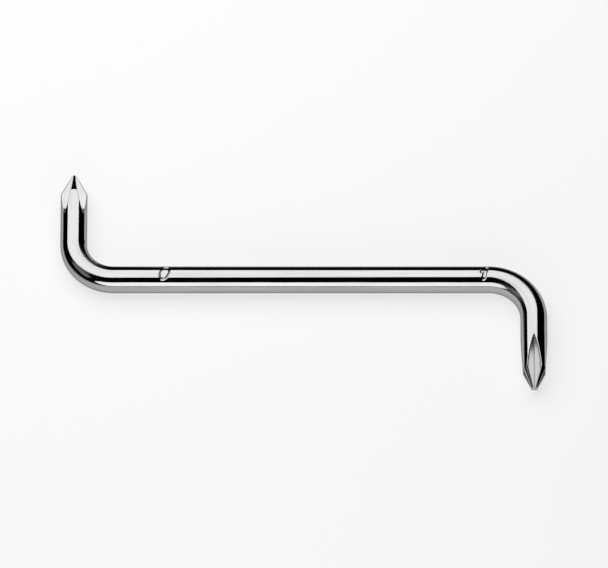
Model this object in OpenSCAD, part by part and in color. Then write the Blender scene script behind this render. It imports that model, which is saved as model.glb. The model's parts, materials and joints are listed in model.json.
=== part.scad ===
// Offset screwdriver: one round steel bar bent to a Z, with a ground cross point at each end.
// It lies flat on its side. X runs along the middle of the bar, the arms run along Y and Z is up.
// The origin is under the middle of the tool, on the surface that it lies on.
// The bar is drawn as the lengths that its maker works one by one: the straight shank,
// two bends, two plain arm lengths and two ground points. They meet face to face.

/* [Bar] */
// Diameter of the round bar
bar_d = 5; // [4:0.1:7]
// Distance between the axes of the two arms
arm_spacing = 85.5; // [60:0.5:160]

/* [Upper arm] */
// Radius of the upper bend, measured to the axis of the bar
upper_bend_r = 7.5; // [4:0.1:12]
// Reach of the upper arm, from the axis of the shank to the end of its point
upper_reach = 22.5; // [18:0.1:60]
// Diameter of the blunt end of the upper point
upper_end_d = 0.81; // [0.5:0.01:1.6]
// Thickness of the wings at the end of the upper point
upper_web = 0.31; // [0.2:0.01:0.5]
// Length of the flutes of the upper point
upper_flute_len = 9.3; // [8.5:0.1:13.5]
// Turn of the upper point about its arm, from a flute that faces up
upper_turn = 45; // [0:1:45]

/* [Lower arm] */
// Radius of the lower bend, measured to the axis of the bar
lower_bend_r = 8.3; // [4:0.1:12]
// Reach of the lower arm, from the axis of the shank to the end of its point
lower_reach = 23.6; // [20:0.1:60]
// Diameter of the blunt end of the lower point
lower_end_d = 1.27; // [0.8:0.01:2.4]
// Thickness of the wings at the end of the lower point
lower_web = 0.43; // [0.3:0.01:0.7]
// Length of the flutes of the lower point
lower_flute_len = 10.9; // [9:0.1:14]
// Turn of the lower point about its arm, from a flute that faces up
lower_turn = 0; // [0:1:45]

/* [Points] */
// Angle between the side of a point and its axis
flank_angle = 26.5; // [22:0.5:32]
// Slope of the blunt end of a point, from a flat end
end_slope = 28; // [20:1:35]
// Angle between the two sides of a flute
flute_angle = 92; // [90:0.5:96]
// Angle between the root of a flute and the axis
root_angle = 7; // [4:0.1:8]
// Radius of the wheel that grinds the flutes and lifts out through the side of the bar
wheel_r = 25; // [15:0.5:30]
// Share of the plain round length between a bend and the flutes that is drawn with the arm
arm_share = 0.45; // [0.2:0.05:0.8]

/* [Hidden] */

$fn = 180;
flutes = 4;
bar_r = bar_d / 2;
// The shank's axis stands off the middle of the tool by half of what one arm is longer than the other
axis_y = (lower_reach - upper_reach) / 2;
axis_z = bar_r;
// How far the wheel sinks below the straight root before it lifts out
wheel_dip = 0.02;
steel = "gainsboro";
ground_steel = "lightgray";

// Length of the plain arm, from its bend to the face where it meets its point
function arm_len(bend_r, reach, flute_len) = arm_share * (reach - bend_r - flute_len);

// Length of a point, from its end to the face where it meets its arm
function point_len(bend_r, reach, flute_len) = reach - bend_r - arm_len(bend_r, reach, flute_len);

// Radius of a flute's root at the end of a point, where the wings between the flutes have this thickness
function root_r(web) = web / (2 * sin(180 / flutes));

// How far the side of the bar stands off the lowest line of the wheel, at the end of a flute
function lift(web, flute_len) =
    (bar_r - root_r(web)) * cos(root_angle) - flute_len * sin(root_angle) + wheel_dip;

// Length of the straight root of a flute, up to the place where the wheel lifts out
function straight_len(web, flute_len) =
    let (out = lift(web, flute_len))
    flute_len * cos(root_angle) + (bar_r - root_r(web)) * sin(root_angle) - sqrt(out * (2 * wheel_r - out));

// Carries a piece to the upper arm's side of the shank, or by half a turn to the lower arm's side
module upper_side() {
    translate([0, axis_y, axis_z]) children();
}

module lower_side() {
    translate([0, axis_y, axis_z]) rotate(180) children();
}

// Quarter turn of the bar between the shank and an arm
module bend(bend_r) {
    translate([bend_r - arm_spacing / 2, bend_r, 0])
        rotate(180)
            rotate_extrude(angle = 90)
                translate([bend_r, 0])
                    circle(d = bar_d);
}

// Straight round length of an arm, from its bend to its point
module arm(bend_r, reach, flute_len) {
    translate([-arm_spacing / 2, bend_r, 0])
        rotate([-90, 0, 0])
            cylinder(d = bar_d, h = arm_len(bend_r, reach, flute_len));
}

// Turned blank of a point along Z: the blunt end at the origin, the side cone, then the full bar
module point_blank(end_d, top_h) {
    end_r = end_d / 2;
    end_h = end_r * tan(end_slope);
    shoulder_h = end_h + (bar_r - end_r) / tan(flank_angle);
    rotate_extrude()
        polygon([[0, 0], [end_r, end_h], [bar_r, shoulder_h], [bar_r, top_h], [0, top_h]]);
}

// Space of the flute on the +X side: straight along its root, then out along the edge of the wheel
module flute(web, flute_len) {
    edge_w = bar_r * tan(flute_angle / 2);
    along = straight_len(web, flute_len);
    translate([root_r(web), 0, 0])
        rotate([0, root_angle, 0]) {
            translate([0, 0, -bar_r])
                linear_extrude(bar_r + along)
                    polygon([[0, 0], [bar_r, edge_w], [bar_r, -edge_w]]);
            translate([wheel_r - wheel_dip, 0, along])
                rotate([90, 0, 0])
                    rotate_extrude()
                        polygon([[wheel_r, 0], [wheel_r - bar_r, edge_w], [wheel_r - bar_r, -edge_w]]);
        }
}

// Cross point at the end of an arm: the blank, with the flutes ground into it
module point(bend_r, reach, end_d, web, flute_len, turn) {
    translate([-arm_spacing / 2, reach, 0])
        rotate([90, 0, 0])
            rotate(90 + turn)
                difference() {
                    rotate(180 / flutes)
                        point_blank(end_d, point_len(bend_r, reach, flute_len));
                    for (i = [0 : flutes - 1])
                        rotate(i * 360 / flutes)
                            flute(web, flute_len);
                }
}

module middle_shank() {
    color(steel)
        upper_side()
            translate([upper_bend_r - arm_spacing / 2, 0, 0])
                rotate([0, 90, 0])
                    cylinder(d = bar_d, h = arm_spacing - upper_bend_r - lower_bend_r);
}

module upper_bend() {
    color(steel) upper_side() bend(upper_bend_r);
}

module upper_arm() {
    color(steel) upper_side() arm(upper_bend_r, upper_reach, upper_flute_len);
}

module number_0_point() {
    color(ground_steel)
        upper_side()
            point(upper_bend_r, upper_reach, upper_end_d, upper_web, upper_flute_len, upper_turn);
}

module lower_bend() {
    color(steel) lower_side() bend(lower_bend_r);
}

module lower_arm() {
    color(steel) lower_side() arm(lower_bend_r, lower_reach, lower_flute_len);
}

module number_1_point() {
    color(ground_steel)
        lower_side()
            point(lower_bend_r, lower_reach, lower_end_d, lower_web, lower_flute_len, lower_turn);
}

middle_shank();
upper_bend();
upper_arm();
number_0_point();
lower_bend();
lower_arm();
number_1_point();
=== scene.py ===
import json
import math
from collections import namedtuple

import bmesh
import bpy
from mathutils import Matrix, Vector


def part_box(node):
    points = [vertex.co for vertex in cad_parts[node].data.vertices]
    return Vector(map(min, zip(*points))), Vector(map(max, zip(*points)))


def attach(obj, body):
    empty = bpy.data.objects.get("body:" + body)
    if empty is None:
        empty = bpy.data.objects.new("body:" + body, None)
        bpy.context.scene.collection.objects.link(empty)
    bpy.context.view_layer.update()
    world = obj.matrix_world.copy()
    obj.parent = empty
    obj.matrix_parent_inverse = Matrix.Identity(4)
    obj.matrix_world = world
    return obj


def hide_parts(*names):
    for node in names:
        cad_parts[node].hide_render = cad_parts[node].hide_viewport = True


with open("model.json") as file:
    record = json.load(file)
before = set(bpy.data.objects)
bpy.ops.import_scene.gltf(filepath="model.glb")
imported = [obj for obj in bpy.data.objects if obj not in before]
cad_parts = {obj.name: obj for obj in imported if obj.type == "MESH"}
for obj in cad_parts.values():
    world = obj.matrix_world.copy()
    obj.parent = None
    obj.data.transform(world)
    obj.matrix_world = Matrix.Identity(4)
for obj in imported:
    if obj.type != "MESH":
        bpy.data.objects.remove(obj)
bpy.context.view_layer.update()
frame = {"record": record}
scene = bpy.context.scene

# Shank
# The straight middle of the tool: drawn steel bar, with the size of each point pressed cold into its top.
# It is polished and chrome plated in one piece with the bends, the arms and the points.
mm_per_m = 1000
mounts = {mount["name"]: mount for mount in frame["record"]["mounts"]}
bar_radius = mounts["upper_arm_pin"]["dims"]["r_mm"] / mm_per_m
shank_axis = Vector(mounts["shank_grip"]["pos_m"])
# Every length of the bar is made round this pivot on the axis of the shank, and is then put in place
pivot = Vector((0, shank_axis.y, shank_axis.z))
shank_turn = Matrix.Identity(3)
ring_sides = 288
plain_step = 2e-3

numeral_height = 2.8e-3
numeral_slant = math.radians(13)
# The numbers stand a little behind the very top of the bar
numeral_rise = 0.15e-3
zero_x = -25.78e-3
zero_width = 1.65e-3
one_x = 33.75e-3
one_flag_width = 0.6e-3
one_flag_drop = 0.9e-3
# The 0 is pressed by a sharp edge, and the 1 by a broad one that leaves a flat floor
zero_floor = 0
one_floor = 0.24e-3
stroke_wall = 0.22e-3
wall_slope = math.radians(36)
# Each pressed stroke is painted darker the deeper it goes, as painted shade in the recess
stroke_shade_share = 0.3
stamp_reach = 1.8e-3
stamp_step = 0.05e-3


def evenly(start, end, spacing):
    """Places from start to just before end, spacing apart or a little less."""
    count = math.ceil(abs(end - start) / spacing)
    return [start + (end - start) * i / count for i in range(count)]


def bar_ring(centre, along, sides=ring_sides):
    """A new mesh with one ring of the bar's surface, square to along, and the ring's edges."""
    mesh = bmesh.new()
    square_on = Matrix.Translation(centre) @ along.to_track_quat("Z", "Y").to_matrix().to_4x4()
    bmesh.ops.create_circle(mesh, segments=sides, radius=bar_radius, matrix=square_on)
    return mesh, mesh.edges[:]


def draw_on(mesh, ring, step):
    """Draws the bar on from an open ring by one step, and returns the new ring's corners and edges."""
    drawn = bmesh.ops.extrude_edge_only(mesh, edges=ring)["geom"]
    verts = [part for part in drawn if isinstance(part, bmesh.types.BMVert)]
    bmesh.ops.translate(mesh, verts=verts, vec=step)
    return verts, [part for part in drawn if isinstance(part, bmesh.types.BMEdge) and part.is_boundary]


def line_distance(place, start, end):
    """How far a place lies from the straight line between two points."""
    share = (place - start).dot(end - start) / (end - start).length_squared
    return (place - start.lerp(end, min(max(share, 0), 1))).length


def zero_distance(place):
    """How far a place lies from the middle of a 0's stroke, near that stroke."""
    radii = Vector((zero_width / 2, numeral_height / 2))
    ring = Vector((place.x / radii.x, place.y / radii.y)).length
    slope = Vector((place.x / radii.x**2, place.y / radii.y**2)).length
    return abs(ring - 1) * ring / slope if slope else numeral_height


def one_distance(place):
    """How far a place lies from the middle of a 1's stem or flag."""
    top = Vector((0, numeral_height / 2 - one_floor))
    flag = top - Vector((one_flag_width, one_flag_drop))
    return min(line_distance(place, top, -top), line_distance(place, top, flag))


shank_low, shank_high = (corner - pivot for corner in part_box("middle_shank"))
shank_stations = [
    *evenly(shank_low.x, zero_x - stamp_reach, plain_step),
    *evenly(zero_x - stamp_reach, zero_x + stamp_reach, stamp_step),
    *evenly(zero_x + stamp_reach, one_x - stamp_reach, plain_step),
    *evenly(one_x - stamp_reach, shank_high.x, stamp_step),
    shank_high.x,
]
shank, ring = bar_ring(Vector((shank_low.x, 0, 0)), Vector((1, 0, 0)))
for here, there in zip(shank_stations, shank_stations[1:]):
    _, ring = draw_on(shank, ring, Vector((there - here, 0, 0)))

numerals = ((zero_x, zero_floor, zero_distance), (one_x, one_floor, one_distance))
unbent = shank.verts.layers.float_vector.new("unbent")
shade_and_dull = shank.verts.layers.float.new("shade_and_dull")
for vert in shank.verts:
    vert[unbent] = vert.co
    arc = bar_radius * math.atan2(vert.co.y, vert.co.z) - numeral_rise
    outward = Vector((0, vert.co.y, vert.co.z)).normalized()
    for numeral_x, stroke_floor, distance in numerals:
        place = Vector((vert.co.x - numeral_x - arc * math.tan(numeral_slant), arc))
        pressed = min(max(stroke_floor + stroke_wall - distance(place), 0), stroke_wall)
        # Painted shade: the stroke is painted darker the deeper it is pressed
        vert[shade_and_dull] += stroke_shade_share * pressed / stroke_wall
        vert.co -= pressed * math.tan(wall_slope) * outward


def hex_colour(code):
    """An sRGB hex colour as linear red, green, blue and alpha."""
    channels = [int(code[i : i + 2], 16) / 255 for i in (1, 3, 5)]
    return [c / 12.92 if c <= 0.04045 else ((c + 0.055) / 1.055) ** 2.4 for c in channels] + [1]


def add_node(tree, kind, inputs, **settings):
    """Adds a node with its own settings, and gives each input its value or the socket that feeds it."""
    node = tree.nodes.new(kind)
    for name, value in settings.items():
        setattr(node, name, value)
    for name, value in inputs.items():
        if isinstance(value, bpy.types.NodeSocket):
            tree.links.new(value, node.inputs[name])
        else:
            node.inputs[name].default_value = value
    return node


# Chrome plate over polished steel: a grey mirror, darker at a glancing look. Polishing leaves hairlines and
# faint streaks along the bar, handling leaves patches of haze, and the drawn bar under it is a little wavy.
# Pressed strokes and the roots of flutes are rougher and painted darker, as painted shade in these recesses.
# Ground faces are softer and painted lighter, as a painted sheen, and the skin of a bend is a little grained.
chrome_colour = hex_colour("#B0B0B0")
streak_colour = hex_colour("#A6A6A6")
# Painted sheen: the lighter colour of the ground faces of the flutes
ground_sheen_colour = hex_colour("#CACACA")
edge_colour = hex_colour("#BABABA")
# Painted shade in the pressed strokes and the roots of the flutes
recess_shade_colour = hex_colour("#2A2826")
chrome_roughness = 0.05
haze_roughness = 0.09
ground_roughness = 0.1
bent_roughness = 0.22
worn_roughness = 0.1
recess_roughness = 0.3
recess_shade_share = 0.45
haze_size = 7e-3
wave_size = 5e-3
wave_height = 14e-6
wave_detail = 0
streak_length = 14e-3
streak_width = 0.7e-3
# Hairlines are some 0.02 mm wide, and are drawn coarser so that they show
hairline_length = 9e-3
hairline_width = 0.16e-3
hairline_detail = 3
grain_size = 0.45e-3
grain_height = 8e-6
# Noise keeps near the middle of its range, so this part of it is spread over the whole
noise_low = 0.35
noise_high = 0.68


def chrome_plate(name, hairline_height):
    """Chrome plate for a length of the bar, which takes its finish from the marks on the mesh."""
    material = bpy.data.materials.new(name)
    material.use_nodes = True
    tree = material.node_tree
    place = add_node(tree, "ShaderNodeAttribute", {}, attribute_name="unbent").outputs["Vector"]
    ground, worn, shade_and_dull, bent = (
        add_node(tree, "ShaderNodeAttribute", {}, attribute_name=mark).outputs["Fac"]
        for mark in ("ground", "worn", "shade_and_dull", "bent")
    )
    spread = {"From Min": noise_low, "From Max": noise_high}

    drawn_out = add_node(
        tree,
        "ShaderNodeMapping",
        {"Vector": place, "Scale": (1 / streak_length, 1 / streak_width, 1 / streak_width)},
    )
    streaks = add_node(tree, "ShaderNodeTexNoise", {"Vector": drawn_out.outputs["Vector"], "Scale": 1})
    streaky = add_node(tree, "ShaderNodeMapRange", {"Value": streaks.outputs["Fac"], **spread})
    colour = add_node(
        tree,
        "ShaderNodeMixRGB",
        {"Fac": streaky.outputs["Result"], "Color1": chrome_colour, "Color2": streak_colour},
    )
    # The share of painted shade in the recesses
    recess_shade = add_node(tree, "ShaderNodeMath", {0: shade_and_dull, 1: recess_shade_share}, operation="MULTIPLY")
    stretched_skin = add_node(
        tree, "ShaderNodeMath", {0: bent, 1: streaky.outputs["Result"]}, operation="MULTIPLY"
    )
    # The ground faces are painted lighter, as a painted sheen, and the recesses darker, as painted shade
    for share, over in ((ground, ground_sheen_colour), (recess_shade.outputs["Value"], recess_shade_colour)):
        colour = add_node(
            tree, "ShaderNodeMixRGB", {"Fac": share, "Color1": colour.outputs["Color"], "Color2": over}
        )

    patches = add_node(tree, "ShaderNodeTexNoise", {"Vector": place, "Scale": 1 / haze_size})
    haze = add_node(
        tree,
        "ShaderNodeMapRange",
        {"Value": patches.outputs["Fac"], "To Min": chrome_roughness, "To Max": haze_roughness, **spread},
    )
    roughness = haze.outputs["Result"]
    rougher_marks = (
        (ground, ground_roughness),
        (worn, worn_roughness),
        (shade_and_dull, recess_roughness),
        (stretched_skin.outputs["Value"], bent_roughness),
    )
    for share, more in rougher_marks:
        rougher = add_node(
            tree, "ShaderNodeMath", {0: share, 1: more, 2: roughness}, operation="MULTIPLY_ADD"
        )
        roughness = rougher.outputs["Value"]

    waves = add_node(
        tree, "ShaderNodeTexNoise", {"Vector": place, "Scale": 1 / wave_size, "Detail": wave_detail}
    )
    wavy = add_node(tree, "ShaderNodeBump", {"Height": waves.outputs["Fac"], "Distance": wave_height})
    grain = add_node(tree, "ShaderNodeTexNoise", {"Vector": place, "Scale": 1 / grain_size})
    grained = add_node(
        tree,
        "ShaderNodeBump",
        {
            "Height": grain.outputs["Fac"],
            "Strength": bent,
            "Distance": grain_height,
            "Normal": wavy.outputs["Normal"],
        },
    )
    stretched = add_node(
        tree,
        "ShaderNodeMapping",
        {"Vector": place, "Scale": (1 / hairline_length, 1 / hairline_width, 1 / hairline_width)},
    )
    hairlines = add_node(
        tree,
        "ShaderNodeTexNoise",
        {"Vector": stretched.outputs["Vector"], "Scale": 1, "Detail": hairline_detail},
    )
    lined = add_node(
        tree,
        "ShaderNodeBump",
        {
            "Height": hairlines.outputs["Fac"],
            "Distance": hairline_height,
            "Normal": grained.outputs["Normal"],
        },
    )
    shader = tree.nodes["Principled BSDF"]
    shader.inputs["Metallic"].default_value = 1
    shader.inputs["Specular Tint"].default_value = edge_colour
    tree.links.new(colour.outputs["Color"], shader.inputs["Base Color"])
    tree.links.new(roughness, shader.inputs["Roughness"])
    tree.links.new(lined.outputs["Normal"], shader.inputs["Normal"])
    return material


def set_in_place(mesh, turn, name, node, material):
    """Closes the ends of a length of bar, puts it where its node lies and lets it stand for that node."""
    rims = [edge for edge in mesh.edges if edge.is_boundary]
    for face in mesh.faces:
        face.smooth = True
    for edge in rims:
        edge.smooth = False
    bmesh.ops.holes_fill(mesh, edges=rims)
    bmesh.ops.recalc_face_normals(mesh, faces=mesh.faces)
    bmesh.ops.transform(mesh, matrix=Matrix.Translation(pivot) @ turn.to_4x4(), verts=mesh.verts)
    data = bpy.data.meshes.new(name)
    mesh.to_mesh(data)
    mesh.free()
    data.materials.append(material)
    piece = bpy.data.objects.new(name, data)
    scene.collection.objects.link(piece)
    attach(piece, "root")
    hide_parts(node)


polished_hairline_height = 1.2e-6
polished_chrome = chrome_plate("polished_chrome", polished_hairline_height)
set_in_place(shank, shank_turn, "stamped_shank", "middle_shank", polished_chrome)

# Bends
# Each end of the bar is bent cold round a former, through a quarter turn, before it is polished.
# The two go opposite ways, so the lower end is the upper one turned half round, with its own sizes.
quarter_turn = math.pi / 2
half_turn = math.pi
bend_steps = 96
End = namedtuple("End", "name turn start_x bend_radius")


def end_box(node, turn):
    """Corners of a node's box from the pivot, with the lower end turned to where the upper one lies."""
    first, second = (turn @ (corner - pivot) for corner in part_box(node))
    return Vector(map(min, first, second)), Vector(map(max, first, second))


def straightened(place, end):
    """Where a place on an end of the tool lay while the bar was still straight."""
    out = end.start_x - place.x
    past = place.y - end.bend_radius
    if past >= 0:
        along = end.bend_radius * quarter_turn + past
        across = out
    else:
        along = end.bend_radius * math.atan2(out, -past)
        across = math.hypot(out, past)
    return Vector((end.start_x - along, end.bend_radius - across, place.z))


def mark_unbent(mesh, end):
    """Stores the straightened place of each corner, so that the finish runs on along the bent bar."""
    layer = mesh.verts.layers.float_vector.new("unbent")
    for vert in mesh.verts:
        vert[layer] = end.turn @ straightened(vert.co, end)


ends = []
for name, turn in (("upper", Matrix.Identity(3)), ("lower", Matrix.Rotation(half_turn, 3, "Z"))):
    low, high = end_box(f"{name}_bend", turn)
    end = End(name, turn, high.x, high.x - low.x - bar_radius)
    ends.append(end)
    bend, ring = bar_ring(Vector((end.start_x, 0, 0)), Vector((1, 0, 0)))
    bmesh.ops.spin(
        bend,
        geom=ring,
        cent=(end.start_x, end.bend_radius, 0),
        axis=(0, 0, 1),
        angle=-quarter_turn,
        steps=bend_steps,
    )
    mark_unbent(bend, end)
    bent = bend.verts.layers.float.new("bent")
    for vert in bend.verts:
        vert[bent] = math.sin(2 * math.atan2(end.start_x - vert.co.x, end.bend_radius - vert.co.y))
    set_in_place(bend, turn, f"bent_{name}_bar", f"{name}_bend", polished_chrome)

# Arms
# The plain round length that runs on from each bend to where the flutes of the point begin.
# It is the same bar, polished and plated as the shank is.
arm_step = 0.5e-3
for end in ends:
    low, high = end_box(f"{end.name}_arm", end.turn)
    arm, ring = bar_ring(Vector((end.start_x - end.bend_radius, low.y, 0)), Vector((0, 1, 0)))
    arm_stations = [*evenly(low.y, high.y, arm_step), high.y]
    for here, there in zip(arm_stations, arm_stations[1:]):
        _, ring = draw_on(arm, ring, Vector((0, there - here, 0)))
    mark_unbent(arm, end)
    piece_name = f"plain_{end.name}_bar"
    set_in_place(arm, end.turn, piece_name, f"{end.name}_arm", polished_chrome)

# Points
# Each end of the bar is turned to a cone with a blunt end, then a wheel with a V edge grinds four flutes into
# it, which leaves four wings to drive a cross recess. The ground faces are plated as they are.
flutes = 4
half_flute = math.radians(46)
half_space = math.pi / flutes
flank_angle = math.radians(26.5)
end_slope = math.radians(28)
root_angle = math.radians(7)
wheel_radius = 25e-3
corner_round = 0.06e-3
edge_round = 0.07e-3
root_round = 0.02e-3
# Painted shade runs this far from the root line of each flute
root_shade_reach = 0.1e-3
# Rings of corners stand closer together within this reach of the shoulder, and at the end
corner_reach = 0.12e-3
end_step = 0.015e-3
fine_step = 0.03e-3
flute_step = 0.1e-3
plain_point_step = 0.4e-3
last_ring_depth = 0.004e-3
merge_reach = 0.1e-6
edge_tries = 40
# A shine of 0 leaves the flutes like the bar, and 1 makes them softer, as fresh ground faces are, and paints
# them lighter, as a painted sheen
PointSize = namedtuple("PointSize", "node end_diameter web flute_length first_flute shine")
point_sizes = {
    "upper": PointSize(
        node="number_0_point",
        end_diameter=0.81e-3,
        web=0.31e-3,
        flute_length=9.3e-3,
        first_flute=math.radians(45),
        shine=0,
    ),
    "lower": PointSize(
        node="number_1_point",
        end_diameter=1.27e-3,
        web=0.43e-3,
        flute_length=10.9e-3,
        first_flute=math.radians(90),
        shine=1,
    ),
}
# Columns of corners from the root of a flute to the middle of a wing: along the flank, round the edge and
# over the land
flank_shares = (0, 0.05, 0.12, 0.25, 0.5, 0.75)
edge_shares = (-1, -0.7, -0.35, 0, 0.35, 0.7, 1)
land_shares = (0.12, 0.24, 0.36, 0.48, 0.61, 0.74, 0.87, 1)
last_column = len(flank_shares) + len(edge_shares) + len(land_shares) - 1


def soft_least(first, second, reach):
    """The lesser of two distances, rounded over where they come within reach of each other."""
    near = max(reach - abs(first - second), 0)
    return min(first, second) - (near**2 / (4 * reach) if near else 0)


def blank_radius(size, depth):
    """Radius of the turned blank at this depth from its end: blunt end, side, then bar."""
    end_radius = size.end_diameter / 2
    side_depth = depth - end_radius * math.tan(end_slope)
    cone = soft_least(
        depth / math.tan(end_slope), end_radius + side_depth * math.tan(flank_angle), corner_round
    )
    return soft_least(cone, bar_radius, corner_round)


def flute_distance(size, depth, angle):
    """How far a flute's face lies from the axis, at a depth from the end and an angle from its root."""
    start = size.web / (2 * math.sin(half_space))
    rise = bar_radius - start
    lean = math.sin(angle) / math.tan(half_flute)
    level = math.cos(angle)
    along = Vector((math.cos(root_angle), math.sin(root_angle)))
    # The flute runs straight along its root until the wheel lifts out through the side of the bar
    lift = rise * along.x - size.flute_length * along.y
    straight = size.flute_length * along.x + rise * along.y - math.sqrt(lift * (2 * wheel_radius - lift))
    distance = (start * along.x + depth * along.y) / (level * along.x - lean)
    if depth * along.x + (distance * level - start) * along.y <= straight:
        return distance
    wheel_depth = straight * along.x - wheel_radius * along.y
    wheel_height = start + straight * along.y + wheel_radius * along.x
    spread = level**2 - lean**2
    fall = wheel_height * level - wheel_radius * lean
    rest = (depth - wheel_depth) ** 2 + wheel_height**2 - wheel_radius**2
    missed = fall**2 < spread * rest
    return 2 * bar_radius if missed else (fall - math.sqrt(fall**2 - spread * rest)) / spread


def edge_angle(size, depth, blank):
    """Angle from a flute's root to the edge where its face comes out of the blank."""
    low, high = 0, half_space
    for _ in range(edge_tries):
        middle = (low + high) / 2
        if flute_distance(size, depth, middle) < blank:
            low = middle
        else:
            high = middle
    return low


def point_columns(size, depth):
    """Angle from a flute's root, distance from the axis, and each column's shares of ground face with painted
    sheen, of wear, and of dulling with painted shade.
    """
    blank = blank_radius(size, depth)
    root = flute_distance(size, depth, 0)
    edge = edge_angle(size, depth, blank)
    rounding = min(edge_round, max(blank - root, 0) / 2)
    spread = min(2 * rounding / blank, edge / 2, (half_space - edge) / 2)
    angles = [
        *(share * (edge - spread) for share in flank_shares),
        *(edge + share * spread for share in edge_shares),
        *(edge + spread + share * (half_space - edge - spread) for share in land_shares),
    ]
    columns = []
    for angle in angles:
        flank = flute_distance(size, depth, min(math.hypot(angle, root_round / root), half_space))
        fluted = min(max((blank - flank) / edge_round, 0), 1)
        worn = max(1 - abs(blank - flank) / (2 * rounding), 0) if rounding else 0
        # Painted shade along the root of each flute
        shade_and_dull = fluted * max(1 - flank * math.sin(angle) / root_shade_reach, 0)
        # The fluted faces of a point with shine are softer, and are painted lighter as a painted sheen
        columns.append((angle, soft_least(flank, blank, rounding), fluted * size.shine, worn, shade_and_dull))
    return columns


# Grinding leaves coarser lines along the flutes than polishing leaves along the bar
ground_hairline_height = 2.5e-6
ground_chrome = chrome_plate("ground_chrome", ground_hairline_height)
for end in ends:
    size = point_sizes[end.name]
    low, high = end_box(size.node, end.turn)
    arm_x = end.start_x - end.bend_radius
    end_depth = size.end_diameter / 2 * math.tan(end_slope)
    shoulder_depth = end_depth + (bar_radius - size.end_diameter / 2) / math.tan(flank_angle)
    point_stations = [
        *evenly(high.y - low.y, size.flute_length, plain_point_step),
        *evenly(size.flute_length, shoulder_depth + corner_reach, flute_step),
        *evenly(shoulder_depth + corner_reach, shoulder_depth - corner_reach, fine_step),
        *evenly(shoulder_depth - corner_reach, end_depth + corner_reach, flute_step),
        *evenly(end_depth + corner_reach, last_ring_depth, end_step),
        last_ring_depth,
    ]
    point, ring = bar_ring(Vector((arm_x, low.y, 0)), Vector((0, 1, 0)), sides=2 * flutes * last_column)
    column = point.verts.layers.int.new("column")
    ground = point.verts.layers.float.new("ground")
    worn = point.verts.layers.float.new("worn")
    shade_and_dull = point.verts.layers.float.new("shade_and_dull")
    verts = point.verts[:]
    for number, vert in enumerate(verts):
        vert[column] = number
    for depth in point_stations:
        if depth != point_stations[0]:
            verts, ring = draw_on(point, ring, Vector((0, 0, 0)))
        columns = point_columns(size, depth)
        for vert in verts:
            flute, number = divmod(vert[column], 2 * last_column)
            side = number - last_column
            angle, distance, vert[ground], vert[worn], vert[shade_and_dull] = columns[abs(side)]
            turned = size.first_flute + flute * math.tau / flutes + math.copysign(angle, side)
            vert.co = (arm_x + distance * math.cos(turned), high.y - depth, distance * math.sin(turned))
    bmesh.ops.pointmerge(point, verts=verts, merge_co=(arm_x, high.y, 0))
    bmesh.ops.remove_doubles(point, verts=point.verts, dist=merge_reach)
    mark_unbent(point, end)
    point.verts.layers.int.remove(column)
    set_in_place(point, end.turn, f"fluted_{size.node}", size.node, ground_chrome)

# Studio
# A pale table in a dark room, under a nearly round soft light, with a white panel standing in front.
# Low dark cards stand on the table at the sides and the back of the tool, out of the camera's sight.
floor_radius = 1.5
floor_sides = 96
floor_colour = hex_colour("#A0A0A0")
floor_glow = 0.66
room_radius = 4
room_sides = 48
room_colour = hex_colour("#080808")
surround_colour = hex_colour("#F2F2F2")

card_height = 0.012
card_width = 0.001
side_card_x = 0.0605
back_card_y = 0.0665
# A thin dark sheet lies on the floor behind the shank
sheet_height = 0.0001
sheet_start_x = -0.0265
sheet_front_y = 0.0135
# A low strip stands slantwise behind the inside of the upper bend, where the arm doesn't reflect it
strip_height = 0.004
strip_start = (-0.036, 0.0105)
strip_end = (-0.0265, 0.016)

floor = bmesh.new()
bmesh.ops.create_circle(floor, cap_ends=True, segments=floor_sides, radius=floor_radius)
room = bmesh.new()
bmesh.ops.create_uvsphere(room, u_segments=room_sides, v_segments=room_sides // 2, radius=room_radius)
cards = bmesh.new()
sheet_y = (sheet_front_y + back_card_y) / 2
sheet_width = back_card_y - sheet_front_y
for card_start, card_end, width, height in (
    ((-side_card_x, -back_card_y), (-side_card_x, back_card_y), card_width, card_height),
    ((side_card_x, -back_card_y), (side_card_x, back_card_y), card_width, card_height),
    ((-side_card_x, back_card_y), (side_card_x, back_card_y), card_width, card_height),
    ((sheet_start_x, sheet_y), (side_card_x, sheet_y), sheet_width, sheet_height),
    (strip_start, strip_end, card_width, strip_height),
):
    along = Vector(card_end) - Vector(card_start)
    middle = (Vector(card_start) + Vector(card_end)) / 2
    turned = Matrix.Rotation(math.atan2(along.y, along.x), 4, "Z")
    stood = Matrix.Translation((*middle, height / 2)) @ turned
    bmesh.ops.create_cube(cards, size=1, matrix=stood @ Matrix.Diagonal((along.length, width, height, 1)))
# Matt paint with no gloss at all: plain pale ground under the tool, and near black round it
for name, mesh, colour in (
    ("pale_floor", floor, floor_colour),
    ("dark_room", room, room_colour),
    ("dark_cards", cards, room_colour),
):
    data = bpy.data.meshes.new(name)
    mesh.to_mesh(data)
    mesh.free()
    paint = bpy.data.materials.new(name)
    paint.use_nodes = True
    shader = paint.node_tree.nodes["Principled BSDF"]
    shader.inputs["Base Color"].default_value = colour
    shader.inputs["Roughness"].default_value = 1
    shader.inputs["Specular IOR Level"].default_value = 0
    data.materials.append(paint)
    stage = bpy.data.objects.new(name, data)
    scene.collection.objects.link(stage)
# The cards, the sheet and the strip only draw dark lines on the chrome, and take no light from the floor
bpy.data.objects["dark_room"].visible_camera = False
bpy.data.objects["dark_cards"].visible_camera = False
bpy.data.objects["dark_cards"].visible_diffuse = False
bpy.data.objects["dark_cards"].visible_shadow = False

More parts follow.
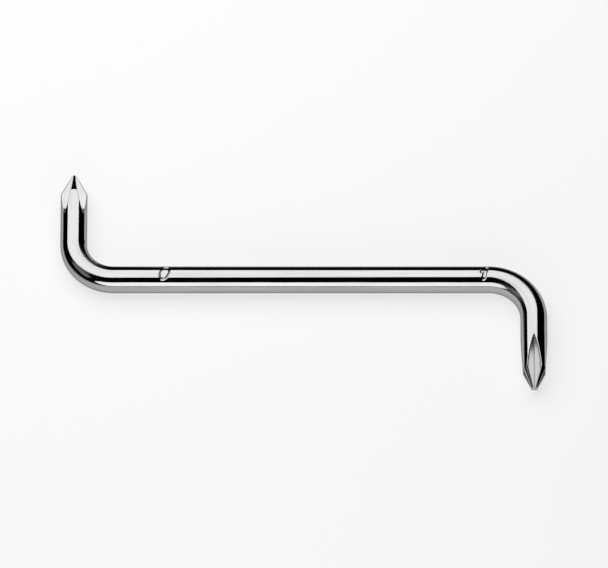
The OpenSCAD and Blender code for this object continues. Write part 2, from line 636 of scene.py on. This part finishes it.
# The floor glows to the camera and in reflections, which makes it pale and the tool's shadow faint
floor_tree = bpy.data.materials["pale_floor"].node_tree
floor_shader = floor_tree.nodes["Principled BSDF"]
path = add_node(floor_tree, "ShaderNodeLightPath", {}).outputs
seen = add_node(
    floor_tree, "ShaderNodeMath", {0: path["Is Camera Ray"], 1: path["Is Glossy Ray"]}, operation="ADD"
)
seen = add_node(
    floor_tree,
    "ShaderNodeMath",
    {0: seen.outputs["Value"], 1: path["Is Transmission Ray"]},
    operation="ADD",
)
glow = add_node(
    floor_tree, "ShaderNodeMath", {0: seen.outputs["Value"], 1: floor_glow}, operation="MULTIPLY"
)
floor_tree.links.new(glow.outputs["Value"], floor_shader.inputs["Emission Strength"])
floor_shader.inputs["Emission Color"].default_value = hex_colour("#FFFFFF")

# The panel is dimmer at its foot, and a dim light off to the left shows in the upper bend
Lamp = namedtuple("Lamp", "name shape middle size facing brightness")
lamps = (
    Lamp(
        name="round_light",
        shape="ELLIPSE",
        middle=(-0.109, 0.218, 0.27),
        size=(0.6, 0.544),
        facing=(0, 0, -1),
        brightness=1.95,
    ),
    Lamp(
        name="white_panel",
        shape="ELLIPSE",
        middle=(0.018, -0.22, 0.0945),
        size=(0.4, 0.155),
        facing=(0, 1, 0),
        brightness=2.1,
    ),
    Lamp(
        name="panel_foot",
        shape="RECTANGLE",
        middle=(0.018, -0.22, 0.03),
        size=(0.22, 0.026),
        facing=(0, 1, 0),
        brightness=1.2,
    ),
    Lamp(
        name="dim_side_light",
        shape="ELLIPSE",
        middle=(-0.36, -0.135, 0.21),
        size=(0.26, 0.22),
        facing=(0.36, 0.135, -0.21),
        brightness=0.3,
    ),
)
for lamp in lamps:
    light = bpy.data.lights.new(lamp.name, "AREA")
    light.shape = lamp.shape
    light.size, light.size_y = lamp.size
    area = light.size * light.size_y * (1 if lamp.shape == "RECTANGLE" else math.pi / 4)
    # The energy grows with the area, so that the brightness is that of the lamp's face
    light.energy = math.pi * area * lamp.brightness
    lit = bpy.data.objects.new(lamp.name, light)
    lit.location = lamp.middle
    lit.rotation_euler = Vector(lamp.facing).to_track_quat("-Z", "Y").to_euler()
    lit.visible_camera = False
    scene.collection.objects.link(lit)

# Past the edge of the floor the camera sees through the room to a pale surround
world = bpy.data.worlds.new("pale_surround")
world.use_nodes = True
world.node_tree.nodes["Background"].inputs["Color"].default_value = surround_colour
scene.world = world
scene.view_settings.view_transform = "Standard"

# Camera
# It looks down at the tool from the front, from far enough away that the two arms stay parallel.
view_elevation = math.radians(60)
view_distance = 2.5
view_width = 0.113
# The tool lies a little above the middle of the picture and to the left of it
shank_rise = 0.77e-3
shank_shift = 0.12e-3
back = Vector((0, -math.cos(view_elevation), math.sin(view_elevation)))
up = Vector((0, math.sin(view_elevation), math.cos(view_elevation)))
camera_data = bpy.data.cameras.new("camera")
camera_data.lens = camera_data.sensor_width * view_distance / view_width
camera = bpy.data.objects.new("camera", camera_data)
camera.location = pivot + Vector((shank_shift, 0, 0)) - shank_rise * up + view_distance * back
camera.rotation_euler = (quarter_turn - view_elevation, 0, 0)
scene.collection.objects.link(camera)
scene.camera = camera
